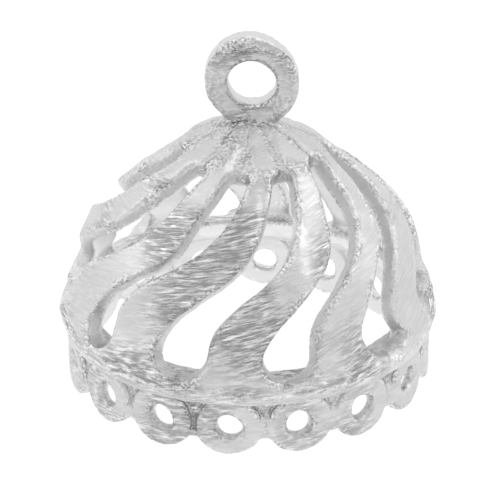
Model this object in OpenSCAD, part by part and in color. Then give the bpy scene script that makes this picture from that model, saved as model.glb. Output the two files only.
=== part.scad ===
// Jhumka pendant: a pierced bell-shaped cap of cast metal, with a hanging loop on top and a row of
// small rings under its rim. Millimetres, +Z up. The origin is the middle of the ring row's foot,
// and the loop's hole runs along Y.

/* [Dome] */
// Height of the flat top edge of the rim band, where the ribs stand
band_top = 4.45; // [4.35:0.05:4.7]
// Height of the lower edge of the rim band
band_foot = 3.05; // [2.8:0.05:3.1]
// Widest radius of the rim band
band_r = 10.05; // [9.95:0.05:10.3]
// Radius of the band's inner wall
band_bore_r = 8.5; // [8.3:0.05:8.55]
// Number of swept ribs
ribs = 10; // [9:1:11]
// Angle of the first rib's foot, from the front, seen from above
rib_phase = -4; // [-16:0.5:16]
// Degrees by which the two ribs at the sides were set towards the front
side_turn = 8; // [0:0.5:8]

/* [Crown] */
// Radius of the crown, where the ribs part
crown_r = 3.75; // [3.6:0.05:3.75]
// Height of the seat that carries the loop
seat_z = 14.65; // [14.5:0.05:14.7]
// Radius of that seat
seat_r = 1.6; // [1.5:0.05:1.65]

/* [Loop] */
// Outer radius of the hanging loop
loop_r = 2.5; // [2.3:0.05:2.7]
// Radius of the loop's hole
loop_bore_r = 1.25; // [1.1:0.05:1.4]
// Thickness of the loop, along its hole
loop_t = 1.2; // [1:0.05:1.4]
// Height of the loop's centre
loop_z = 17.3; // [17.2:0.05:17.4]
// How far the loop was cast off the middle
loop_shift = 0.2; // [0:0.05:0.3]

/* [Ring row] */
// Number of rings under the rim
rings = 16; // [15:1:16]
// Angle of the first ring, from the front, seen from above
ring_phase = -5.9; // [-11:0.1:11]
// Outer radius of a ring
ring_r = 1.76; // [1.7:0.01:1.78]
// Radius of a ring's hole
ring_bore_r = 0.64; // [0.55:0.01:0.7]
// Radius of a hole's rounded mouth
ring_mouth_r = 0.78; // [0.75:0.01:0.9]
// Inner radius of the ring row
row_in = 9.1; // [9:0.05:9.15]
// Outer radius of the ring row
row_out = 9.7; // [9.6:0.05:9.75]
// Height at which the web between two rings ends
web_foot = 0.75; // [0.7:0.05:1.2]
// Thickness of that web
web_t = 0.45; // [0.3:0.05:0.5]

/* [Hidden] */
$fn = 96;
silver = "#c9c9c7";
end_gap = 0.02;         // room between a rib's flat end and the round crown
edge_break = 0.14;      // size of the small bevels on the rings' and the band's edges
mouth_depth = 0.12;     // how deep the rounded mouth of a ring's hole goes
row_mid = (row_in + row_out) / 2;
row_half = (row_out - row_in) / 2;
far = 12;               // a radius well outside the pendant
ring_pitch = 360 / rings;
rib_pitch = 360 / ribs;
ring_names = [for (i = [1 : rings]) str("rim_ring_", i < 10 ? "0" : "", i)];
rib_names = [for (i = [1 : ribs]) str("rib_", i < 10 ? "0" : "", i)];

// One row for each section of a rib, from the crown down to the band. Height and radius are those
// of the middle of its outer face; sweep is how far the section is turned from the foot; width is
// measured level, round the dome; lean is the slope of the thickness, 90 upright and 0 level.
HEIGHT = 0;
RADIUS = 1;
SWEEP = 2;
WIDTH = 3;
THICK = 4;
LEAN = 5;
rib_rows = [
    [13.30, crown_r + end_gap, 48.5, 1.30, 1.25, 90],
    [12.65, 4.55, 44.0, 1.45, 1.20, 60],
    [11.45, 6.05, 36.0, 1.85, 1.15, 52],
    [10.05, 7.55, 26.0, 2.60, 1.10, 42],
    [8.60, 8.68, 12.0, 3.18, 1.10, 32],
    [7.25, 9.17, 3.5, 3.20, 1.10, 21],
    [6.00, 9.47, 0, 2.92, 1.10, 14],
    [band_top, 9.85, 0, 3.00, 1.15, 0]
];
turned_z = 9.3;         // height up to which a rib's own turn holds in full
turn_rise = 3.6;        // height over which it dies out towards the crown
side_angle = 70;        // angle of the side ribs from the front
side_reach = 16;        // how fast the turn falls off to both sides of that angle
steps = 3;              // sections drawn between two rows
rib_sides = 12;         // points round a section
squareness = 0.55;      // 1 is an ellipse, smaller is more like a box

// One row for each ring of points on the crown, from the seat over the rim to the hollow
// underneath: radius, height, and depth of the grooves between the ridges.
crown_rows = [
    [seat_r, seat_z, 0],
    [1.75, 14.50, 0.10],
    [2.20, 14.18, 0.22],
    [2.95, 13.78, 0.34],
    [crown_r, 13.30, 0.42],
    [crown_r, 12.40, 0],
    [2.40, 13.00, 0],
    [1.00, 13.40, 0]
];
rim_row = 4;            // the crown's row at its rim; the rows after it are underneath
crown_hollow_z = 13.50; // height of the hollow's top, on the axis
ridge_steps = 8;        // points from one ridge to the next
crown_twist = 4.0;      // how far the ridges turn on their way to the seat

// A value at t between b and c of the four neighbours a, b, c, d, on a smooth curve through them
function smooth(a, b, c, d, t) =
    ((2 * b) + (c - a) * t + (2 * a - 5 * b + 4 * c - d) * t * t
        + (3 * b - a - 3 * c + d) * t * t * t) / 2;

function row_at(table, i) = table[max(0, min(len(table) - 1, i))];

// The table's row at u, where whole numbers are its own rows
function between(table, u) =
    let (i = min(floor(u), len(table) - 2), t = u - i)
    smooth(row_at(table, i - 1), row_at(table, i), row_at(table, i + 1), row_at(table, i + 2), t);

function signed_power(v, p) = sign(v) * pow(abs(v), p);

// Corner k of a rib's rounded section: across from -1 to 1, and depth from 0 outside to 1 inside
function corner(k) =
    let (a = -360 * (k + 0.5) / rib_sides)
    [signed_power(cos(a), squareness), (1 - signed_power(sin(a), squareness)) / 2];

// How far rib i is turned from its even place
function rib_turn(i) =
    let (a = rib_phase + i * rib_pitch, side = a > 180 ? a - 360 : a)
    -side_turn * sign(side) * exp(-pow((abs(side) - side_angle) / side_reach, 2));

// Share of a rib's own turn at height z: 1 at its foot, 0 at the crown, on 3t^2 - 2t^3 between them
function turn_share(z) =
    let (t = max(0, min(1, (z - turned_z) / turn_rise)))
    1 - t * t * (3 - 2 * t);

// A point of a rib's section: across it, and inwards along its lean
function rib_point(row, k, turn) =
    let (c = corner(k),
         out = row[RADIUS] - c[1] * row[THICK] * cos(row[LEAN]),
         up = row[HEIGHT] - c[1] * row[THICK] * sin(row[LEAN]),
         across = c[0] * row[WIDTH] / 2,
         a = row[SWEEP] + turn * turn_share(row[HEIGHT]))
    [out * sin(a) + across * cos(a), -out * cos(a) + across * sin(a), up];

// Triangles of the skin between two rings of points, n to a ring, from point number s
function skin(s, n) = [for (k = [0 : n - 1]) let (a = s + k, b = s + (k + 1) % n)
    each [[a, b, b + n], [a, b + n, a + n]]];

// One swept rib, with flat ends on the crown and on the band
module rib(turn) {
    last = (len(rib_rows) - 1) * steps;
    points = [for (j = [0 : last], k = [0 : rib_sides - 1]) rib_point(between(rib_rows, j / steps), k, turn)];
    foot = last * rib_sides;
    faces = concat(
        [[for (k = [rib_sides - 1 : -1 : 0]) k]],
        [for (j = [0 : last - 1]) each skin(j * rib_sides, rib_sides)],
        [[for (k = [0 : rib_sides - 1]) foot + k]]);
    polyhedron(points, faces, convexity = 4);
}

// The ridged crown that the ribs spring from, with the loop's flat seat on top
module crown_cap() {
    n = ribs * ridge_steps;
    last = len(crown_rows) - 1;
    rings_of_points = [for (j = [0 : last], k = [0 : n - 1])
        let (row = crown_rows[j],
             a = 360 * k / n + rib_phase + rib_rows[0][SWEEP] + crown_twist * max(0, rim_row - j) / rim_row,
             groove = row[2] * (1 - cos(360 * k / ridge_steps)) / 2)
        [row[0] * sin(a), -row[0] * cos(a), row[1] - groove]];
    top = len(rings_of_points);
    points = concat(rings_of_points, [[0, 0, seat_z], [0, 0, crown_hollow_z]]);
    faces = concat(
        [for (k = [0 : n - 1]) [top, (k + 1) % n, k]],
        [for (j = [0 : last - 1]) each skin(j * n, n)],
        [for (k = [0 : n - 1]) [top + 1, last * n + k, last * n + (k + 1) % n]]);
    polyhedron(points, faces, convexity = 4);
}

// Outline of the rim band, from the inner wall's foot round the outside: radius and height. It is
// widest a little under its flat top edge and draws in towards the ring row.
band_crest = 0.85;      // height of the widest line above the foot
band_foot_in = 0.33;    // how far the foot draws in from the widest line
band_top_in = 0.15;     // how far the top edge draws in
band_shoulder = 0.35;   // height of the rounded top edge
band_outline = [
    [band_bore_r, band_foot + edge_break],
    [band_bore_r + edge_break, band_foot],
    [band_r - band_foot_in, band_foot],
    [band_r - band_foot_in + edge_break, band_foot + edge_break],
    [band_r - band_top_in / 3, band_foot + band_crest * 2 / 3],
    [band_r, band_foot + band_crest],
    [band_r - band_top_in / 5, band_top - band_shoulder],
    [band_r - band_top_in, band_top],
    [band_bore_r + edge_break, band_top],
    [band_bore_r, band_top - edge_break]
];

module band() {
    rotate_extrude() polygon(band_outline);
}

// Half outline of the loop's bar: radius and distance from its middle plane. The hole is straight
// for a stretch, and both it and the rim round off to the faces in quarter ellipses.
loop_half = loop_t / 2;
loop_land = 0.3;        // half length of the hole's straight stretch
loop_mouth = 0.12;      // how much wider the hole gets at its mouths
loop_rim = 0.33;        // how far the rounding of the rim goes in
loop_rim_land = 0.18;   // half width of the rim's straight stretch
loop_side = concat(
    [for (a = [0, 45, 90])
        [loop_bore_r + loop_mouth * (1 - cos(a)), loop_land + (loop_half - loop_land) * sin(a)]],
    [for (a = [90, 60, 30, 0])
        [loop_r - loop_rim * (1 - cos(a)), loop_rim_land + (loop_half - loop_rim_land) * sin(a)]]);

// Half outline of the neck under the loop, a little thinner than the loop: distance from the loop's
// middle, and height
neck_t = 1.1;
neck_side = [[1.3, seat_z], [1.62, loop_z - 2.25], [1.75, loop_z - 1.8]];

// The hanging loop on its neck, cut flat where it sits on the crown
module loop() {
    outline = concat(loop_side, [for (i = [len(loop_side) - 1 : -1 : 0]) [loop_side[i][0], -loop_side[i][1]]]);
    neck = concat(neck_side, [for (i = [len(neck_side) - 1 : -1 : 0]) [-neck_side[i][0], neck_side[i][1]]]);
    translate([loop_shift, 0, 0]) {
        difference() {
            translate([0, 0, loop_z]) rotate([90, 0, 0]) rotate_extrude() polygon(outline);
            translate([-loop_z / 2, -loop_z / 2, seat_z - loop_z]) cube(loop_z);
        }
        translate([0, neck_t / 2, 0]) rotate([90, 0, 0]) linear_extrude(neck_t) polygon(neck);
    }
}

// A turned solid on the axis of a rim ring's hole, at the front of the row
module on_ring_axis() {
    translate([0, -row_mid, ring_r]) rotate([90, 0, 0]) rotate_extrude() children();
}

module ring_disc() {
    on_ring_axis() polygon([
        [0, -row_half],
        [ring_r - edge_break, -row_half],
        [ring_r, -row_half + edge_break],
        [ring_r, row_half - edge_break],
        [ring_r - edge_break, row_half],
        [0, row_half]]);
}

module ring_hole() {
    on_ring_axis() polygon([
        [0, -row_half - 1],
        [ring_mouth_r, -row_half - 1],
        [ring_mouth_r, -row_half],
        [ring_bore_r, -row_half + mouth_depth],
        [ring_bore_r, row_half - mouth_depth],
        [ring_mouth_r, row_half],
        [ring_mouth_r, row_half + 1],
        [0, row_half + 1]]);
}

// One ring of the row with its share of the web to each side, cut off at the band above and half
// way to its neighbours
module rim_ring() {
    half_share = far * tan(ring_pitch / 2);
    difference() {
        intersection() {
            union() {
                ring_disc();
                translate([-half_share, -row_mid - web_t / 2, web_foot])
                    cube([2 * half_share, web_t, band_foot]);
            }
            linear_extrude(band_foot) polygon([[0, 0], [-half_share, -far], [half_share, -far]]);
        }
        ring_hole();
    }
}

module top_loop() {
    color(silver) loop();
}

module crown() {
    color(silver) crown_cap();
}

module rim_band() {
    color(silver) band();
}

module rib_number(i) {
    color(silver) rotate([0, 0, rib_phase + i * rib_pitch]) rib(rib_turn(i));
}

module rim_ring_number(i) {
    color(silver) rotate([0, 0, ring_phase + i * ring_pitch]) rim_ring();
}

top_loop();
crown();
rim_band();
for (i = [0 : ribs - 1]) {
    rib_number(i);
}
for (i = [0 : rings - 1]) {
    rim_ring_number(i);
}
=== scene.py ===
"""A cast silver jhumka cap on a pale floor: a pierced bell of swept ribs with a hanging loop on top and a
row of small rings under its rim. Shapes are worked out in millimetres and put into the mesh in metres."""
import math

import bmesh
import bpy
import numpy as np
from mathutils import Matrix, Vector


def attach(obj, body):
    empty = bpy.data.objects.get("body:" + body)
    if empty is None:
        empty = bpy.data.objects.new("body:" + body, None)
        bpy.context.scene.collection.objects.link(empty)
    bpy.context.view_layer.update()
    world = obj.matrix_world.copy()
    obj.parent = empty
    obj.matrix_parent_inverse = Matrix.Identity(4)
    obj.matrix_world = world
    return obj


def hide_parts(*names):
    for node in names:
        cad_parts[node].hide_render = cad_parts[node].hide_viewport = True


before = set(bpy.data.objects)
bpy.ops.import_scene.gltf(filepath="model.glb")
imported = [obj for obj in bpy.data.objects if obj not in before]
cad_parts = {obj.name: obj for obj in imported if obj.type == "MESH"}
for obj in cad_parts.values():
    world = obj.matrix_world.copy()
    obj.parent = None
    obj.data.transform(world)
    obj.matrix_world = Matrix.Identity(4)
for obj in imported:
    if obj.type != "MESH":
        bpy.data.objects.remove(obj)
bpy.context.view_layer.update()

MM = 0.001
TAU = 2 * math.pi

# Camera: where the photograph was taken from, the point it looks at, and its lens on a frame 36 mm wide
CAMERA_DISTANCE = 200.0
CAMERA_ELEVATION = 27.3
PIVOT_HEIGHT = 9.0
AIM = (0.107, 0.0, 7.10)
LENS = 270.0
SENSOR = 36

# The part's own driving sizes
RIBS = 10
RIB_PHASE = -4.0
RINGS = 16
RING_PHASE = -5.9
BAND_FOOT = 3.05
BAND_BORE_R = 8.5
LOOP_R = 2.5
LOOP_BORE_R = 1.25
LOOP_T = 1.2
LOOP_Z = 17.3
LOOP_SHIFT = 0.2
RING_R = 1.76
RING_BORE_R = 0.64
ROW_IN = 9.1
ROW_OUT = 9.7

# How the worn casting stands off those sizes: the heights of its band's top edge and of the foot of the web
# between two rings, how far the rings' feet are worn down and their faces stand proud, how far the dome
# leans to the right at the crown, and how much lower the loop sits
BAND_TOP = 4.5
WEB_FOOT = 0.95
RING_LIFT = 0.11
RING_PROUD = 0.07
LEAN_RIGHT = 0.13
LOOP_SAG = 0.07

# One row for each section of a rib, from the neck down into the band. Height and radius are those of the
# middle of its outer face; sweep is its turn from the foot; width is level, round the dome; lean is the
# slope of the thickness, 90 upright and 0 level.
RIB_ROWS = np.array([
    # height, radius, sweep, width, thickness, lean
    [15.12, 0.62, 54.5, 0.42, 1.00, 72],
    [14.82, 1.30, 54.0, 0.62, 1.00, 66],
    [14.35, 2.08, 53.0, 0.82, 1.05, 64],
    [13.88, 2.98, 51.0, 1.02, 1.10, 62],
    [13.38, 3.82, 48.5, 1.22, 1.05, 60],
    [12.68, 4.58, 43.8, 1.45, 1.00, 57],
    [11.45, 6.06, 36.2, 1.85, 0.95, 51],
    [10.05, 7.53, 26.2, 2.62, 0.95, 42],
    [8.60, 8.69, 12.0, 3.18, 0.98, 32],
    [7.25, 9.15, 3.6, 3.20, 1.05, 21],
    [6.00, 9.42, -0.2, 2.88, 1.12, 14],
    [4.95, 9.88, 0.0, 2.80, 1.15, 6],
    [4.10, 10.0, 0.0, 2.86, 1.15, 0],
])
RIB_SECTIONS = 120
RIB_SIDES = 40

# Columns of that table that are also read by height
HEIGHT = 0
SWEEP = 2
LEAN = 5

# Radius at which a gap between two ribs ends in its round arch, how far the arch reaches out, and how much
# wider than their share of the crown the ribs are inside it
ARCH_TOP = 3.5
ARCH_RISE = 0.65
CROWN_OVERLAP = 1.04

# How each hand-set rib stands off its even place: degrees at its foot, degrees half way up, how much wider it
# was filed half way up, and how far the solder fills the corners left and right of its foot
RIB_OWN = [
    (0.4, 0.7, 0.1, 1.6, 1.1),
    (-0.4, -3.7, -0.56, 1.8, 1.3),
    (-2.2, -8.9, 0.15, 0.6, 0.6),
    (0.2, -1.0, -0.1, 0.5, 0.8),
    (-0.6, -0.6, 0.05, 0.7, 0.7),
    (-1.8, 0.1, 0.05, 0.7, 0.7),
    (-2.8, 0.8, -0.1, 0.6, 0.6),
    (-2.5, 3.9, 0.0, 0.8, 0.8),
    (6.8, 7.6, -0.1, 1.2, 1.3),
    (1.3, -0.8, 0.38, 1.3, 1.1),
]

# Heights from which that turn goes over from the foot's to the middle's and then dies out, each with the
# height that this takes; and the height round which the ribs were filed, with its reach
FOOT_TURN_Z = 4.8
FOOT_TURN_RISE = 4.5
MIDDLE_TURN_Z = 9.3
MIDDLE_TURN_RISE = 3.6
FILED_Z = 9.5
FILED_REACH = 2.5

# How far a ring's hole was drilled off its middle, to the right, where that shows
BORE_OFF = {14: 0.12, 15: 0.07, 1: -0.08, 2: -0.12}

# Height at which the pocket in the web right of a ring begins: the usual one, and where it isn't that
POCKET_FOOT = 2.45
POCKETS = {15: 1.45, 14: 1.9, 3: 2.2, 13: 1.7, 7: 1.6, 10: 2.0}

# Painted highlights, lines painted bright where the dome's facets catch the light: degrees and height of the
# lower end, the same of the upper end, and half their width
PAINTED_HIGHLIGHTS = [
    (-17.0, 13.45, -13.5, 14.35, 0.26),
    (4.8, 10.9, 7.9, 13.0, 0.14),
    (22.2, 9.4, 25.8, 11.6, 0.3),
]

# Outline of the crown's thin cone, from its tip over the rim to the underside: radius and height
CONE = [
    (0.01, 15.2), (0.5, 15.12), (0.9, 14.94), (1.3, 14.72), (1.6, 14.45), (2.0, 14.05), (3.0, 13.28),
    (3.4, 12.9), (3.46, 12.72), (3.35, 12.55), (3.1, 12.6), (2.6, 12.8), (1.6, 13.25), (0.01, 13.4),
]

# Sections of the neck of solder under the loop: height, and half its width along X and along Y
NECK_ROWS = np.array([
    (15.9, 1.85, 0.56), (15.4, 1.62, 0.57), (15.0, 1.5, 0.58), (14.6, 1.46, 0.6), (13.9, 1.4, 0.6)])

# Grid spacing of each melted skin in millimetres, and the most triangles that it keeps
DOME_GRID = 0.1
DOME_TRIANGLES = 190000
ROW_GRID = 0.085
ROW_TRIANGLES = 160000
LOOP_GRID = 0.06
LOOP_TRIANGLES = 60000

# Soft lights round the piece: turn from the front and height in degrees, distance and size in metres, watts
SOFT_LIGHTS = [
    ("right_box", 50, 48, 0.30, 0.16, 0.025),
    ("right_strip", 92, 45, 0.30, 0.14, 0.055),
    ("left_box", -85, 40, 0.34, 0.26, 0.1),
    ("top_box", 160, 75, 0.34, 0.30, 0.06),
]

# Brightness of the white tent, and of its opening round the camera; half the size of the floor in metres
TENT_LIGHT = 1.1
TENT_OPENING = 0.75
FLOOR_SIZE = 3.0


# Curves and closed skins

def smooth_rows(table, count):
    """Rows of a table on a smooth curve through them, count of them evenly spaced. The formula is the
    Catmull-Rom cubic between each two neighbours."""
    u = np.linspace(0, len(table) - 1, count)
    i = np.minimum(u.astype(int), len(table) - 2)
    t = (u - i)[:, None]
    last = len(table) - 1
    a, b = table[np.clip(i - 1, 0, last)], table[i]
    c, d = table[i + 1], table[np.clip(i + 2, 0, last)]
    return (2 * b + (c - a) * t + (2 * a - 5 * b + 4 * c - d) * t ** 2 + (3 * b - a - 3 * c + d) * t ** 3) / 2


def closed_skin(points):
    """Vertices and faces of a tube whose sections are the rows of points, with a flat lid on each end."""
    rows, n = points.shape[:2]
    j, k = np.meshgrid(np.arange(rows - 1), np.arange(n), indexing="ij")
    a, b = j * n + k, j * n + (k + 1) % n
    quads = np.stack([a, b, b + n, a + n], -1).reshape(-1, 4)
    lids = [list(range(n))[::-1], list(range((rows - 1) * n, rows * n))]
    return points.reshape(-1, 3), quads.tolist() + lids


def turned(outline, steps):
    """Vertices and faces of a closed outline of radius and height turned round Z."""
    outline = np.asarray(outline, float)
    n = len(outline)
    a = np.arange(steps) * TAU / steps
    r, z = outline[:, 0], outline[:, 1]
    points = np.stack([r * np.cos(a)[:, None], r * np.sin(a)[:, None], z + 0 * a[:, None]], -1)
    j, k = np.meshgrid(np.arange(steps), np.arange(n), indexing="ij")
    p, q = j * n + k, j * n + (k + 1) % n
    p2, q2 = ((j + 1) % steps) * n + k, ((j + 1) % steps) * n + (k + 1) % n
    return points.reshape(-1, 3), np.stack([p, p2, q2, q], -1).reshape(-1, 4).tolist()


def power(v, p):
    """v to the power p, with v's own sign."""
    return np.sign(v) * np.abs(v) ** p


def rounded_box(half_w, half_h, squareness, n):
    """Closed outline round the middle: a superellipse, from an ellipse at 1 towards a box at 0."""
    a = np.arange(n) * TAU / n
    return np.stack([half_w * power(np.cos(a), squareness), half_h * power(np.sin(a), squareness)], -1)


def ease(t):
    """3t² - 2t³: 0 to 1 with a level start and end."""
    t = np.clip(t, 0, 1)
    return t * t * (3 - 2 * t)


def quarter(t):
    """1 - sqrt(1 - (1 - t)²): a quarter circle from 1, where it is steep, to 0, where it is level."""
    t = np.clip(t, 0, 1)
    return 1 - np.sqrt(1 - (1 - t) ** 2)


# Shapes of the dome

def own_turn(z, foot, middle):
    """Degrees that a rib is turned from its even place at height z: from its foot to half way up it goes over
    to the middle's turn, and from there to the crown it dies out."""
    low = foot + (middle - foot) * ease((z - FOOT_TURN_Z) / FOOT_TURN_RISE)
    return np.where(z < MIDDLE_TURN_Z, low, middle * (1 - ease((z - MIDDLE_TURN_Z) / MIDDLE_TURN_RISE)))


def rib_shape(i):
    """A rib: rounded sections carried along the swept line, a little squarer on the dome than on the crown.
    It gets wider in quarter circles where it meets the band and the crown."""
    foot, middle, wider, left, right = RIB_OWN[i]
    z, r, sweep, width, thick, lean = smooth_rows(RIB_ROWS, RIB_SECTIONS).T
    corner_left = left * quarter((z - BAND_TOP) / left)
    corner_right = right * quarter((z - BAND_TOP) / right)
    width = width + corner_left + corner_right
    touching = CROWN_OVERLAP * TAU * r / RIBS
    width = width + (touching - width) * quarter((r - ARCH_TOP) / ARCH_RISE)
    width = width + wider * np.exp(-((z - FILED_Z) / FILED_REACH) ** 2)
    square = (0.5 - 0.14 * np.clip((r - 3.0) / 2.0, 0, 1))[:, None]
    a = np.arange(RIB_SIDES) * TAU / RIB_SIDES
    across = 0.5 * power(np.cos(a), square) * width[:, None] + 0.5 * (corner_right - corner_left)[:, None]
    depth = 0.5 - 0.5 * power(np.sin(a), square)
    out = r[:, None] - depth * (thick * np.cos(np.radians(lean)))[:, None]
    up = z[:, None] - depth * (thick * np.sin(np.radians(lean)))[:, None]
    a = np.radians(sweep + RIB_PHASE + 360 / RIBS * i + own_turn(z, foot, middle))[:, None]
    points = np.stack([out * np.sin(a) + across * np.cos(a), -out * np.cos(a) + across * np.sin(a), up], -1)
    return closed_skin(points[:, ::-1])


def crown_shape():
    """The thin cone under the upper ends of the ribs, with the knob that carries the loop."""
    return turned(CONE, 132)


def band_shape():
    """The rim band: widest a little over half way up, with a rounded edge on top and a drawn-in foot. Its
    outline of radius and height starts on the inner wall and goes round under the foot."""
    return turned([
        (BAND_BORE_R + 0.05, 3.75), (8.75, 3.4), (9.1, BAND_FOOT), (9.66, BAND_FOOT), (9.84, 3.12),
        (9.96, 3.35), (10.08, 3.62), (10.13, 3.82), (10.1, 4.02), (9.98, 4.16), (9.76, 4.27), (9.55, 4.33),
        (9.1, 4.42), (8.75, BAND_TOP), (8.6, BAND_TOP), (BAND_BORE_R + 0.04, 4.42), (BAND_BORE_R, 4.28)], 240)


def leaning(shape):
    """A shape of the dome, drawn a little to the right from the band up, as the casting leans."""
    points, faces = shape
    return points + LEAN_RIGHT * ease((points[:, 2:] - 5) / 6) * (1, 0, 0), faces


# Shapes of the ring row

def round_row(along, up, out, angle):
    """Points of a flat strip bent round the row of rings: the way along it becomes an angle, and the way out
    of it a radius."""
    middle = (ROW_IN + ROW_OUT) / 2
    a = np.radians(angle) + along / middle
    r = middle + out
    return np.stack([r * np.sin(a), -r * np.cos(a), up], -1)


def ring_shape(i):
    """A rim ring: a rounded washer on a level axis that points out of the row, bent to the row's curve. Its
    hole opens outwards, it is out of round by a few hundredths, and its foot is worn."""
    half = (ROW_OUT - ROW_IN) / 2 + RING_PROUD
    bar = (RING_R - RING_BORE_R) / 2
    section = rounded_box(bar, half, 0.5, 28)
    section[:, 0] += RING_BORE_R + bar
    in_hole = section[:, 0] < RING_BORE_R + bar
    section[:, 0] += 0.08 * np.clip(section[:, 1] / half, -0.2, 1) * in_hole
    points, faces = turned(section, 56)
    inner = np.clip((RING_R - np.hypot(points[:, 0], points[:, 1])) / (2 * bar), 0, 1)
    turn = np.arctan2(points[:, 1], points[:, 0])
    drawn = np.random.default_rng(40 + i).uniform(-1, 1, 4)
    swell = 0.05 * np.cos(2 * turn + 3 * drawn[0]) + 0.03 * np.cos(3 * turn + 3 * drawn[1])
    points[:, :2] *= 1 + (inner * swell)[:, None]
    points[:, :2] += inner[:, None] * (0.02 * drawn[2:] + (BORE_OFF.get(i, 0), 0))
    up = points[:, 1] + RING_R
    up = up + RING_LIFT * np.clip(1 - up / 0.8, 0, 1)
    return round_row(points[:, 0], up, points[:, 2], RING_PHASE + 360 / RINGS * i), faces


def web_shape(i):
    """The web between one ring and the next, almost as thick as they are, with a pocket under the band. It is
    one outline of radius and height, turned a few degrees to each side of its middle."""
    span = 5.6
    middle = RING_PHASE + 360 / RINGS * (i + 0.5)
    a = np.radians(np.linspace(middle - span, middle + span, 9))[:, None]
    pocket = POCKETS.get(i, POCKET_FOOT)
    corners = np.array([
        (9.18, WEB_FOOT), (9.56, WEB_FOOT + 0.02), (9.66, WEB_FOOT + 0.12),
        (9.67, pocket - 0.25), (9.42, pocket), (9.38, 3.3), (9.18, 3.3)])
    r, z = corners.T
    return closed_skin(np.stack([r * np.sin(a), -r * np.cos(a), z + 0 * a], -1))


# Shapes of the loop

def loop_shape():
    """The hanging loop: a flat bar with a thick round rim and a tight bore, both of quarter ellipses, turned
    round a level axis. Its faces are dished a little inside the rim, and rim and bore are slightly oval."""
    a = np.linspace(0, TAU / 4, 7)
    half = LOOP_T / 2
    rim = np.stack([LOOP_R + 0.02 - 0.42 * (1 - np.cos(a)), half - 0.24 * (1 - np.sin(a))], -1)
    mouth = np.stack([LOOP_BORE_R - 0.01 + 0.14 * (1 - np.sin(a)), half - 0.04 - 0.42 * (1 - np.cos(a))], -1)
    front = np.concatenate([rim, [(1.95, half - 0.035), (1.7, half - 0.05)], mouth])
    points, faces = turned(np.concatenate([front, front[::-1] * (1, -1)]), 96)
    away = np.hypot(points[:, 0], points[:, 1])
    outer = np.clip((away - LOOP_BORE_R) / (LOOP_R - LOOP_BORE_R), 0, 1)
    turn = np.arctan2(points[:, 1], points[:, 0])
    rim_oval = outer * 0.03 * np.cos(2 * (turn - math.radians(130)))
    bore_oval = (1 - outer) * (0.03 * np.cos(2 * (turn - math.radians(140))) - 0.02)
    points[:, :2] *= 1 + (rim_oval + bore_oval)[:, None]
    x, up, out = points.T
    upright = np.stack([x, -out, up + (LOOP_Z - LOOP_SAG) - 0.03 * (1 - outer)], -1)
    return upright + (LOOP_SHIFT + 0.01, 0, 0), faces


def neck_shape():
    """The neck of solder between the loop and the crown: as wide as the loop's foot, and no thicker than the
    loop. Its level sections are rounded boxes."""
    section = rounded_box(1, 1, 0.7, 48)
    height, half_wide, half_deep = NECK_ROWS.T[:, :, None]
    points = np.stack([section[:, 0] * half_wide, -section[:, 1] * half_deep, height + 0 * section[:, 0]], -1)
    return closed_skin(points + (LOOP_SHIFT, 0, 0))


# Meshes

def to_mesh(name, shapes):
    """One mesh of several closed shapes, given as points and faces."""
    vertices, faces, base = [], [], 0
    for points, polygons in shapes:
        vertices.append(points)
        faces += [[v + base for v in polygon] for polygon in polygons]
        base += len(points)
    mesh = bpy.data.meshes.new(name)
    mesh.from_pydata(np.concatenate(vertices).tolist(), [], faces)
    mesh.update()
    return mesh


def outward(mesh):
    """Turns the faces of each closed shape outwards."""
    b = bmesh.new()
    b.from_mesh(mesh)
    bmesh.ops.remove_doubles(b, verts=b.verts, dist=1e-5)
    bmesh.ops.recalc_face_normals(b, faces=b.faces)
    b.to_mesh(mesh)
    b.free()


def apply_modifiers(piece):
    """Makes the piece's mesh what its modifiers show."""
    made = bpy.data.meshes.new_from_object(piece.evaluated_get(bpy.context.evaluated_depsgraph_get()))
    piece.modifiers.clear()
    piece.data = made


def fused(name, shapes, grid, limit):
    """The shapes melted into one skin on a grid of that spacing in millimetres, thinned to the limit of
    triangles."""
    mesh = to_mesh(name, shapes)
    outward(mesh)
    piece = bpy.data.objects.new(name, mesh)
    bpy.context.scene.collection.objects.link(piece)
    melt = piece.modifiers.new("melt", "REMESH")
    melt.mode = "VOXEL"
    melt.voxel_size = grid
    melt.use_smooth_shade = True
    apply_modifiers(piece)
    soften(piece.data, rounds=5, give=0.5)
    triangles = 2 * len(piece.data.polygons)
    if triangles > limit:
        thin = piece.modifiers.new("thin", "DECIMATE")
        thin.ratio = limit / triangles
    apply_modifiers(piece)
    return piece


def arrays(mesh):
    """A mesh's points and edges as arrays."""
    points = np.empty(len(mesh.vertices) * 3)
    mesh.vertices.foreach_get("co", points)
    edges = np.empty(len(mesh.edges) * 2, int)
    mesh.edges.foreach_get("vertices", edges)
    return points.reshape(-1, 3), edges.reshape(-1, 2)


def neighbour_sum(values, edges):
    """The sum of the values at each point's neighbours."""
    a, b = edges.T
    n = len(values)
    return np.bincount(a, values[b], n) + np.bincount(b, values[a], n)


def relax(points, edges, rounds, give):
    """Points moved towards the mean of their neighbours, then a little further back, so that the skin gets
    smooth but doesn't shrink (Taubin's two steps)."""
    count = np.bincount(edges.ravel(), minlength=len(points))[:, None]
    for _ in range(rounds):
        for step in (give, -give * 1.04):
            total = np.stack([neighbour_sum(points[:, axis], edges) for axis in range(3)], -1)
            points = points + step * (total / count - points)
    return points


def soften(mesh, rounds, give):
    """Smooths a mesh in place."""
    points, edges = arrays(mesh)
    mesh.vertices.foreach_set("co", relax(points, edges, rounds, give).ravel())
    mesh.update()


def spread(values, edges, rounds):
    """Values at the points, averaged with their neighbours that many times."""
    count = np.bincount(edges.ravel(), minlength=len(values))
    for _ in range(rounds):
        values = 0.5 * values + 0.5 * neighbour_sum(values, edges) / count
    return values


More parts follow.
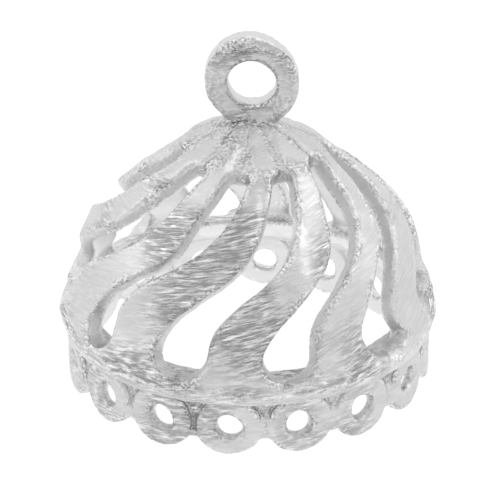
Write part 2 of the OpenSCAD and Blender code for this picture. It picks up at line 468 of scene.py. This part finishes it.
def lattice_noise(points, cells, seed):
    """Smooth random heights from -1 to 1 in cells of those sizes: each corner of a box grid draws its height
    from its whole numbers, and inside a cell the eight corners are mixed along 3t² - 2t³."""
    place = points / cells + 100.0
    corner = np.floor(place).astype(np.int64)
    t = place - corner
    t = t * t * (3 - 2 * t)
    total = np.zeros(len(points))
    for step in np.ndindex(2, 2, 2):
        at = corner + step
        drawn = (at[:, 0] * 73856093) ^ (at[:, 1] * 19349663) ^ (at[:, 2] * 83492791) ^ (seed * 2654435761)
        drawn = (drawn ^ (drawn >> 13)) * 1274126177 & 0xffffffff
        drawn = (drawn ^ (drawn >> 16)) & 0xffff
        share = np.prod(np.where(step, t, 1 - t), axis=1)
        total += share * (drawn / 32767.5 - 1)
    return total


def skin_normals(mesh):
    """The outward direction at each point of a mesh."""
    normals = np.empty(len(mesh.vertices) * 3)
    mesh.vertices.foreach_get("normal", normals)
    return normals.reshape(-1, 3)


def skin_relief(points, edges, normals):
    """How far each point stands out of its surroundings, over a half, or falls into them, under a half."""
    around = np.stack([spread(points[:, k], edges, 6) for k in range(3)], -1)
    relief = spread(((points - around) * normals).sum(-1), edges, 2)
    low, high = np.percentile(relief, (3, 97))
    return np.clip(0.5 + 0.5 * relief / max(high, -low), 0, 1)


# How each skin was brushed, and where it stayed rough. A function of strokes gives for each point its place
# under the brush, the way the outer skin faces there, how rough it is, how hard it was brushed, and how much
# lighter or darker it is painted, painted highlights included.

def stroke_place(points, count, middles, slope):
    """Where each point lies under the brush: its place, with height less part of the radius, and less a share
    of its way round from the middle of its rib or ring, so that the strokes climb to the right."""
    x, y, z = points.T
    r = np.hypot(x, y)
    pitch = TAU / count
    way = (np.arctan2(x, -y) - middles + pitch / 2) % pitch - pitch / 2
    return np.stack([x, y, z - 0.8 * r - 0.1 * x - slope * r * way], -1)


def painted_highlights(points):
    """Painted highlights on the dome's skin: 1 along the lines of the table of painted highlights, and 0
    beyond their width."""
    x, y, z = points.T
    r = np.hypot(x, y)
    bright = np.zeros(len(points))
    for low_turn, low, high_turn, high, wide in PAINTED_HIGHLIGHTS:
        turn = np.radians(low_turn + (high_turn - low_turn) * (z - low) / (high - low))
        off = np.abs((np.arctan2(x, -y) - turn) * r) / wide + 0.5 * lattice_noise(points, 0.35, 41)
        ends = np.clip(np.minimum(z - low, high - z) / 0.15, 0, 1)
        bright = np.maximum(bright, ends * np.clip(2 * (1 - off), 0, 1))
    return bright


def at_height(z, column):
    """A column of the ribs' table at each height z, on straight lines between its rows."""
    rows = RIB_ROWS[::-1]
    return np.interp(z, rows[:, HEIGHT], rows[:, column])


def rib_middles(points):
    """The angle of the middle of the rib nearest to each point, at the point's height."""
    x, y, z = points.T
    sweep = at_height(z, SWEEP) + RIB_PHASE
    even = np.degrees(np.arctan2(x, -y)) - sweep
    nearest = np.round(even / (360 / RIBS)).astype(int) % RIBS
    own = np.array(RIB_OWN)[nearest]
    return np.radians(sweep + own_turn(z, own[:, 0], own[:, 1]))


def dome_away(points):
    """The way that the dome's outer skin faces at each point: out and up along the ribs' lean, and 35 degrees
    up at the band."""
    x, y, z = points.T
    r = np.hypot(x, y)
    lean = np.radians(np.maximum(at_height(z, LEAN), 35 * ease((5.2 - z) / 0.6)))
    return np.stack([x / r * np.cos(lean), y / r * np.cos(lean), np.sin(lean)], -1)


def dome_rough(points, middles):
    """How rough the dome was left: in the seams between the crown's ridges, round the loop's foot, along the
    band's upper edge, and in patches of cast grain on the crown."""
    x, y, z = points.T
    r = np.hypot(x, y)
    pitch = TAU / RIBS
    off = r * (pitch / 2 - np.abs((np.arctan2(x, -y) - middles + pitch / 2) % pitch - pitch / 2))
    seam = np.exp(-(off / 0.2) ** 2) * np.clip((5.0 - r) / 1.2, 0, 1) * (z > 12)
    seam *= np.clip(0.45 + 0.9 * lattice_noise(points, 1.1, 31), 0, 1)
    foot = np.exp(-((np.hypot(x / 1.5, y / 0.62) - 1.05) / 0.3) ** 2) * (z > 14)
    edge = np.exp(-((z - 4.2) / 0.16) ** 2) * (r > 9.6) * np.clip(1.6 * lattice_noise(points, 1.7, 32), 0, 1)
    cast = 0.6 * np.clip(1.8 * lattice_noise(points, 0.9, 33), 0, 1) * np.clip((z - 12.6) / 0.8, 0, 1)
    return np.maximum.reduce([seam, foot, 0.8 * edge, cast])


def dome_strokes(points):
    """Strokes of the dome: they climb on the ribs and lie level on the band. The crown was hardly brushed at
    all and is dull, and the band was brushed hardest and is bright."""
    z = points[:, 2]
    middles = rib_middles(points)
    place = stroke_place(points, RIBS, middles, 0.26 * np.clip((z - 4.4) / 1.2, 0, 1))
    band = np.clip((4.5 - z) / 0.3, 0, 1)
    hard = 1 - 0.8 * np.clip((z - 12) / 1.5, 0, 1) + 0.2 * band
    # Painted highlights along the table's lines, with the band a little lighter and the crown a little darker
    highlight_and_tone = painted_highlights(points) + 0.3 * band - 0.28 * np.clip((z - 12.5) / 0.8, 0, 1)
    return place, dome_away(points), dome_rough(points, middles), hard, highlight_and_tone


def row_strokes(points):
    """Strokes of the row of rings: level, with rough, sunken pockets between the rings."""
    x, y, z = points.T
    r = np.hypot(x, y)
    away = np.stack([x, y, 0 * z], -1) / r[:, None]
    pocket = np.clip((9.66 - r) / 0.15, 0, 1) * (r > 9.25)
    place = stroke_place(points, RINGS, np.radians(RING_PHASE), 0.0)
    return place, away, 0.4 * pocket, 0.85 + 0 * z, 0.05 + 0 * z


def loop_strokes(points):
    """Strokes of the loop: straight across its faces and a little uphill. Its rough places are the foot, the
    arc inside the rim at the top, the spot under the bore, the bore's mouth and patches of cast grain."""
    x, y, z = points.T
    place = np.stack([x, y, z - 0.15 * x - 0.8 * y], -1)
    across, up = x - LOOP_SHIFT, z - LOOP_Z
    arc = np.exp(-((np.hypot(across, up) - 1.85) / 0.2) ** 2) * np.clip((up - 1.35) / 0.3, 0, 1)
    spot = np.exp(-((across - 0.1) / 0.6) ** 2 - ((up + 1.42) / 0.13) ** 2)
    cone_r, cone_z = np.array(CONE[1:5]).T
    cone = np.interp(np.hypot(x, y), cone_r, cone_z)
    foot = np.exp(-((z - cone - 0.06) / 0.1) ** 2)
    mouth = 0.8 * np.exp(-((np.hypot(across, up + LOOP_SAG) - 1.38) / 0.06) ** 2)
    cast = 0.45 * np.clip(0.4 + lattice_noise(points, 0.8, 34), 0, 1)
    rough = np.maximum(np.maximum.reduce([0.8 * arc, spot, cast, mouth]) * (np.abs(y) > 0.45), foot)
    return place, np.stack([0 * x, np.sign(y), 0 * z], -1), rough, 1 + 0 * z, -0.2 + 0 * z


def filed_height(points, relief, rough, seed):
    """Unevenness of a hand-filed casting, in millimetres out of the skin: broad swells of 2.3 and 0.9 mm,
    fine pits of 0.34 mm in edges, hollows and rough places, and flat file marks away from the edges."""
    edge = np.clip((relief - 0.6) / 0.3, 0, 1)
    hollow = np.clip((0.4 - relief) / 0.3, 0, 1)
    height = 0.045 * lattice_noise(points, 2.3, seed) + 0.030 * lattice_noise(points, 0.9, seed + 1)
    height += (0.004 + 0.018 * edge + 0.020 * hollow + 0.045 * rough) * lattice_noise(points, 0.34, seed + 2)
    height += 0.012 * (1 - edge) * lattice_noise(points, np.array([2.2, 2.2, 0.42]), seed + 3)
    return height


def brush_bite(points, hard, seed):
    """How deep the brush bit, in patches of 2 mm that come more often in front and behind."""
    turn = np.arctan2(points[:, 0], -points[:, 1])
    patch = 0.42 + 0.55 * lattice_noise(points, 2.1, seed + 4) + 0.28 * np.cos(2 * (turn + 0.35))
    return hard * (0.1 + 0.9 * np.clip((patch + hard - 1.3) / 0.4, 0, 1))


def finish_skin(piece, seed, strokes):
    """Gives a melted skin its unevenness, takes it from millimetres to metres and notes on each point how it
    stands to its surroundings, "relief", how squarely it faces the brush, "facing", how rough it is, "seam",
    how deep the brush bit, "bite", how much lighter or darker it is painted, painted highlights included,
    "highlight_and_tone", and where it lies under the brush, "brush"."""
    mesh = piece.data
    points, edges = arrays(mesh)
    normals = skin_normals(mesh)
    relief = skin_relief(points, edges, normals)
    place, away, rough, hard, highlight_and_tone = strokes(points)
    facing = (normals * away).sum(-1)
    bite = brush_bite(points, hard, seed)
    notes = {"relief": relief, "facing": facing, "seam": rough, "bite": bite, "highlight_and_tone": highlight_and_tone}
    for name, values in notes.items():
        mesh.attributes.new(name, "FLOAT", "POINT").data.foreach_set("value", values.astype(np.float32))
    place = (place * MM).astype(np.float32)
    mesh.attributes.new("brush", "FLOAT_VECTOR", "POINT").data.foreach_set("vector", place.ravel())
    points = points + normals * filed_height(points, relief, rough, seed)[:, None]
    mesh.vertices.foreach_set("co", (points * MM).ravel())
    mesh.polygons.foreach_set("use_smooth", np.ones(len(mesh.polygons), bool))
    mesh.update()


# Materials

def linear(code):
    """An sRGB hex colour as linear red, green, blue and alpha."""
    c = np.array([int(code[i:i + 2], 16) for i in (1, 3, 5)]) / 255
    c = np.where(c <= 0.04045, c / 12.92, ((c + 0.055) / 1.055) ** 2.4)
    return (*c.tolist(), 1.0)


def node(tree, kind, links=None, output=None, **settings):
    """A new node of that kind, as its named output or else its first one. Settings name its properties, and
    links its sockets, by name or number, with what feeds them or their values."""
    made = tree.nodes.new(kind)
    for key, value in settings.items():
        setattr(made, key, value)
    for key, value in (links or {}).items():
        named = [i for i in made.inputs if i.name == key and i.enabled]
        socket = named[0] if named else made.inputs[key]
        if isinstance(value, bpy.types.NodeSocket):
            tree.links.new(value, socket)
        else:
            socket.default_value = value
    return made.outputs[output] if output else [o for o in made.outputs if o.enabled][0]


def streaks(tree, place, length, pitch, seed):
    """Noise drawn out along the brush strokes: cells of that length and pitch in millimetres."""
    stretched = node(tree, "ShaderNodeMapping", {
        "Vector": place, "Location": (seed, 0, 0), "Scale": (1000 / length, 1000 / length, 1000 / pitch)})
    return node(tree, "ShaderNodeTexNoise", {
        "Vector": stretched, "Scale": 1.0, "Detail": 3.0, "Roughness": 0.62})


def wheel_scratches(tree, place):
    """Scratches of the wire wheel, 0 dark to 1 bright: two sizes of streaks along the strokes, which waver as
    cells of 1.8 mm shift them up or down by up to 0.16 mm."""
    brush = node(tree, "ShaderNodeAttribute", output="Vector", attribute_name="brush")
    waver = node(tree, "ShaderNodeTexNoise", {"Vector": place, "Scale": 1000 / 1.8, "Detail": 1.0})
    shift = node(tree, "ShaderNodeMapRange", {"Value": waver, "To Min": -0.00016, "To Max": 0.00016})
    lift = node(tree, "ShaderNodeCombineXYZ", {"Z": shift})
    wavering = node(tree, "ShaderNodeVectorMath", {0: brush, 1: lift}, operation="ADD")
    fine = streaks(tree, wavering, 0.6, 0.1, 0.0)
    coarse = streaks(tree, wavering, 0.95, 0.21, 5.0)
    both = node(tree, "ShaderNodeMath", {0: coarse, 1: 1.3, 2: fine}, operation="MULTIPLY_ADD")
    return node(tree, "ShaderNodeMapRange", {"Value": both, "From Min": 0.98, "From Max": 1.34})


def bare_places(tree, place):
    """Where the casting shows bare: how deep a point lies in a hollow or a rough place, how far it is on an
    edge, and how worn that edge is there, in spots of 1.3 mm. That depth also sets where the plate's tone
    paints shade."""
    relief = node(tree, "ShaderNodeAttribute", output="Fac", attribute_name="relief")
    rough = node(tree, "ShaderNodeAttribute", output="Fac", attribute_name="seam")
    hollow = node(tree, "ShaderNodeMapRange", {"Value": relief, "From Min": 0.42, "From Max": 0.2})
    shallow = node(tree, "ShaderNodeMath", {0: hollow, 1: 0.6}, operation="MULTIPLY")
    sunken = node(tree, "ShaderNodeMath", {0: shallow, 1: rough}, operation="MAXIMUM")
    edge = node(tree, "ShaderNodeMapRange", {"Value": relief, "From Min": 0.6, "From Max": 0.82})
    spot = node(tree, "ShaderNodeTexNoise", {"Vector": place, "Scale": 1000 / 1.3, "Detail": 1.0})
    rubbed = node(tree, "ShaderNodeMapRange", {
        "Value": spot, "From Min": 0.46, "From Max": 0.6, "To Min": 0.2, "To Max": 0.8})
    nicked = node(tree, "ShaderNodeMath", {0: edge, 1: rubbed}, operation="MULTIPLY")
    return sunken, edge, nicked


def plate_skin(tree, scratch, bite, grain, facing, bare):
    """The skin's small heights: scratches 0.08 mm deep by their bite, then cast grain 0.12 mm deep, which
    stays a little on the unbrushed walls."""
    square = node(tree, "ShaderNodeMath", {0: facing}, operation="ABSOLUTE")
    raw = node(tree, "ShaderNodeMapRange", {
        "Value": square, "From Min": 0.3, "From Max": 0.7, "To Min": 0.3, "To Max": 0.1})
    pitted = node(tree, "ShaderNodeMath", {0: bare, 1: raw}, operation="MAXIMUM")
    cut = node(tree, "ShaderNodeMath", {0: scratch, 1: bite}, operation="MULTIPLY")
    scratched = node(tree, "ShaderNodeBump", {"Height": cut, "Strength": 1.0, "Distance": 0.00008})
    pits = node(tree, "ShaderNodeMath", {0: grain, 1: pitted}, operation="MULTIPLY")
    return node(tree, "ShaderNodeBump", {
        "Height": pits, "Strength": 1.0, "Distance": 0.00012, "Normal": scratched})


def plate_tone(tree, scratch, bite, grain, facing, sunken, edge, nicked):
    """How bright the plate is, from 0 to 1: the brushed skin carries a dull film that follows the scratches,
    the walls are bright bare plate, the faces turned into the dome are painted lighter, as painted light in
    the shade there, the grain in hollows and rough places is darker, partly dark grain and partly painted
    shade, edges are painted a little lighter, partly wear and partly a painted edge highlight, worn edges
    are specked with bright metal, and painted highlights lie along a few lines, on each skin's own tone."""
    swing = node(tree, "ShaderNodeMapRange", {"Value": scratch, "To Min": -0.48, "To Max": 0.46})
    # Gap walls take 0.62, bare plate; faces turned into the dome are painted up to 0.76, painted light in the
    # shade inside the dome
    inside = node(tree, "ShaderNodeMapRange", {
        "Value": facing, "From Min": -0.7, "From Max": -0.1, "To Min": 0.76, "To Max": 0.62})
    outside = node(tree, "ShaderNodeMapRange", {
        "Value": facing, "From Min": 0.2, "From Max": 0.7, "To Max": -0.12})
    plain = node(tree, "ShaderNodeMath", {0: inside, 1: outside}, operation="ADD")
    film = node(tree, "ShaderNodeMath", {0: swing, 1: bite, 2: plain}, operation="MULTIPLY_ADD")
    shade = node(tree, "ShaderNodeMapRange", {
        "Value": grain, "From Min": 0.44, "From Max": 0.58, "To Min": -0.42, "To Max": 0.25})
    specks = node(tree, "ShaderNodeMapRange", {
        "Value": grain, "From Min": 0.44, "From Max": 0.58, "To Min": -0.45, "To Max": 0.38})
    # In hollows and rough places the grain is painted darker on average: dark cast grain, and painted shade
    # in the hollows and creases
    shaded = node(tree, "ShaderNodeMath", {0: sunken, 1: shade, 2: film}, operation="MULTIPLY_ADD")
    # Edges painted 0.06 lighter all along: partly edge wear, partly a painted edge highlight
    rimmed = node(tree, "ShaderNodeMath", {0: edge, 1: 0.06, 2: shaded}, operation="MULTIPLY_ADD")
    specked = node(tree, "ShaderNodeMath", {0: nicked, 1: specks, 2: rimmed}, operation="MULTIPLY_ADD")
    # Adds the painted highlights and each skin's lighter or darker tone
    highlight_and_tone = node(tree, "ShaderNodeAttribute", output="Fac", attribute_name="highlight_and_tone")
    bright = node(tree, "ShaderNodeMath", {0: highlight_and_tone, 1: 0.32, 2: specked}, operation="MULTIPLY_ADD")
    return node(tree, "ShaderNodeClamp", {"Value": bright})


def brushed_silver():
    """Silver plate on cast brass, gone over with a coarse wire wheel: soft grey, with short climbing
    scratches that come in patches and break up its reflections, bare cast grain of 0.15 mm in the hollows
    and worn bright specks along each edge. The wheel never reached the walls of the gaps."""
    material = bpy.data.materials.new("brushed_silver_plate")
    material.use_nodes = True
    tree = material.node_tree
    shader = tree.nodes["Principled BSDF"]
    place = node(tree, "ShaderNodeTexCoord", output="Object")
    facing = node(tree, "ShaderNodeAttribute", output="Fac", attribute_name="facing")
    deep = node(tree, "ShaderNodeAttribute", output="Fac", attribute_name="bite")
    reach = node(tree, "ShaderNodeMapRange", {"Value": facing, "From Min": 0.35, "From Max": 0.75})
    bite = node(tree, "ShaderNodeMath", {0: deep, 1: reach}, operation="MULTIPLY")
    scratch = wheel_scratches(tree, place)
    grain = node(tree, "ShaderNodeTexNoise", {"Vector": place, "Scale": 1000 / 0.15, "Detail": 2.0})
    sunken, edge, nicked = bare_places(tree, place)
    bare = node(tree, "ShaderNodeMath", {0: sunken, 1: nicked}, operation="MAXIMUM")
    skin = plate_skin(tree, scratch, bite, grain, facing, bare)
    tone = plate_tone(tree, scratch, bite, grain, facing, sunken, edge, nicked)
    colour = node(tree, "ShaderNodeMix", {"Factor": tone, "A": linear("#9a9a9a"), "B": linear("#f7f7f7")},
                  data_type="RGBA")
    sheen = node(tree, "ShaderNodeMapRange", {"Value": scratch, "To Min": 0.44, "To Max": 0.32})
    tree.links.new(colour, shader.inputs["Base Color"])
    tree.links.new(sheen, shader.inputs["Roughness"])
    tree.links.new(skin, shader.inputs["Normal"])
    shader.inputs["Metallic"].default_value = 1.0
    return material


def light_table():
    """Opal acrylic lit softly from below, as small jewellery is photographed on: near white, with only a
    breath of shadow."""
    material = bpy.data.materials.new("opal_acrylic")
    material.use_nodes = True
    shader = material.node_tree.nodes["Principled BSDF"]
    shader.inputs["Base Color"].default_value = linear("#404040")
    shader.inputs["Roughness"].default_value = 0.6
    shader.inputs["Specular IOR Level"].default_value = 0.0
    shader.inputs["Emission Color"].default_value = (1, 1, 1, 1)
    shader.inputs["Emission Strength"].default_value = 1.0
    return material


# The pieces

def add_piece(piece, nodes, material):
    """Dresses a piece, lets it ride on the part and stand for those nodes of it."""
    piece.data.materials.clear()
    piece.data.materials.append(material)
    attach(piece, "root")
    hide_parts(*nodes)


silver = brushed_silver()
rib_nodes = ["rib_%02d" % (i + 1) for i in range(RIBS)]
ring_nodes = ["rim_ring_%02d" % (i + 1) for i in range(RINGS)]

dome_shapes = [rib_shape(i) for i in range(RIBS)] + [crown_shape(), band_shape()]
dome = fused("ribbed_dome", [leaning(shape) for shape in dome_shapes], DOME_GRID, DOME_TRIANGLES)
finish_skin(dome, 1, dome_strokes)
add_piece(dome, ["crown", "rim_band"] + rib_nodes, silver)

row_shapes = [ring_shape(i) for i in range(RINGS)] + [web_shape(i) for i in range(RINGS)]
row = fused("ring_row", row_shapes, ROW_GRID, ROW_TRIANGLES)
finish_skin(row, 11, row_strokes)
add_piece(row, ring_nodes, silver)

loop = fused("hanging_loop", [loop_shape(), neck_shape()], LOOP_GRID, LOOP_TRIANGLES)
finish_skin(loop, 21, loop_strokes)
add_piece(loop, ["top_loop"], silver)


# The floor, the lights and the camera

def from_front(azimuth, elevation):
    """The direction that many degrees round from the front and up from the level."""
    a, e = math.radians(azimuth), math.radians(elevation)
    return Vector((math.sin(a) * math.cos(e), -math.cos(a) * math.cos(e), math.sin(e)))


def softbox(name, azimuth, elevation, distance, size, watts):
    """A square soft light aimed at the middle of the piece. Distance and size are in metres."""
    data = bpy.data.lights.new(name, "AREA")
    data.shape = "SQUARE"
    data.size = size
    data.energy = watts
    light = bpy.data.objects.new(name, data)
    away = from_front(azimuth, elevation)
    light.location = away * distance + Vector((0, 0, PIVOT_HEIGHT * MM))
    light.rotation_mode = "QUATERNION"
    light.rotation_quaternion = away.to_track_quat("Z", "Y")
    bpy.context.scene.collection.objects.link(light)


def light_tent():
    """White tent round the piece, dimmer round the camera's opening at the front."""
    world = bpy.data.worlds.new("light_tent")
    world.use_nodes = True
    tree = world.node_tree
    direction = node(tree, "ShaderNodeTexCoord", output="Generated")
    front = node(tree, "ShaderNodeVectorMath", {0: direction, 1: from_front(0, CAMERA_ELEVATION)},
                 output="Value", operation="DOT_PRODUCT")
    shade = node(tree, "ShaderNodeMapRange", {
        "Value": front, "From Min": 0.1, "From Max": 0.95, "To Min": TENT_LIGHT, "To Max": TENT_OPENING},
        interpolation_type="SMOOTHSTEP")
    tree.nodes["Background"].inputs["Color"].default_value = (1, 1, 1, 1)
    tree.links.new(shade, tree.nodes["Background"].inputs["Strength"])
    bpy.context.scene.world = world


def photo_camera():
    """The camera where the photograph was taken from: on a circle round the height PIVOT_HEIGHT, aimed at
    AIM."""
    data = bpy.data.cameras.new("camera")
    data.lens = LENS
    data.sensor_width = SENSOR
    data.clip_start = 0.01
    camera = bpy.data.objects.new("camera", data)
    bpy.context.scene.collection.objects.link(camera)
    rise = math.radians(CAMERA_ELEVATION)
    stand = (0, -CAMERA_DISTANCE * math.cos(rise), PIVOT_HEIGHT + CAMERA_DISTANCE * math.sin(rise))
    camera.location = Vector(stand) * MM
    camera.rotation_mode = "QUATERNION"
    camera.rotation_quaternion = (Vector(stand) * MM - Vector(AIM) * MM).to_track_quat("Z", "Y")
    bpy.context.scene.camera = camera


floor_mesh = bpy.data.meshes.new("floor")
floor_mesh.from_pydata([(x * FLOOR_SIZE, y * FLOOR_SIZE, 0) for x, y in ((-1, -1), (1, -1), (1, 1), (-1, 1))],
                       [], [(0, 1, 2, 3)])
floor = bpy.data.objects.new("floor", floor_mesh)
bpy.context.scene.collection.objects.link(floor)
floor_mesh.materials.append(light_table())

for light in SOFT_LIGHTS:
    softbox(*light)
light_tent()
bpy.context.scene.view_settings.view_transform = "Standard"
photo_camera()
